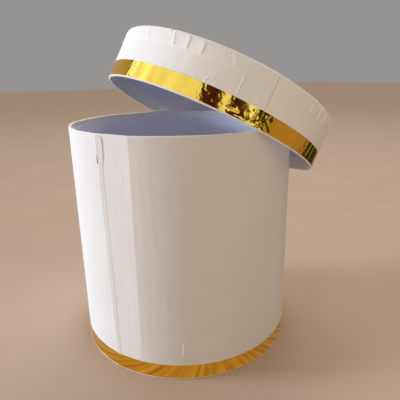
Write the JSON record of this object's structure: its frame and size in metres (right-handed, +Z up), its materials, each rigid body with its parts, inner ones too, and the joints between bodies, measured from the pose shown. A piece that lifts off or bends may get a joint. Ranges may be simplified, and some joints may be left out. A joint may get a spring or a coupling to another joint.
{
  "type": "hat box",
  "caption": "Round paper-covered board hat box, its telescoping lid resting askew on the rim, with gilt foil tape round both lower edges.",
  "frame": {"origin": "on the floor, at the middle of the box's round underside", "axes": "+Z up along the box's axis, +X the way the resting lid leans down, +Y to the left of someone looking along +X"},
  "size_m": [0.2184, 0.1868, 0.2564],
  "materials": {
    "greyboard": "bare grey chipboard, matte",
    "cover_paper": "smooth white cover paper, hand glued, slightly wrinkled, with a faint silk sheen",
    "lining_paper": "white lining paper, matte",
    "gummed_tape": "brown kraft gummed tape, matte",
    "gilt_foil": "mirror-bright gold foil tape, crumpled in places"
  },
  "bodies": {
    "box": {"body_wall_board": "greyboard", "base_board": "greyboard", "body_cover_paper": "cover_paper", "base_cover_paper": "cover_paper", "body_seam_tape": "gummed_tape", "base_joint_tape": "gummed_tape", "body_lining_paper": "lining_paper", "base_lining_paper": "lining_paper", "base_foil_band": "gilt_foil"},
    "lid": {"lid_skirt_board": "greyboard", "lid_top_board": "greyboard", "lid_top_cover_paper": "cover_paper", "lid_side_cover_paper": "cover_paper", "lid_seam_tape": "gummed_tape", "lid_joint_tape": "gummed_tape", "lid_skirt_lining_paper": "lining_paper", "lid_top_lining_paper": "lining_paper", "lid_foil_band": "gilt_foil"}
  },
  "joints": [
    {"name": "lid_lift", "type": "slide", "parent": "box", "child": "lid", "axis": [0, 0, 1], "range_m": [0, 0.15]}
  ]
}
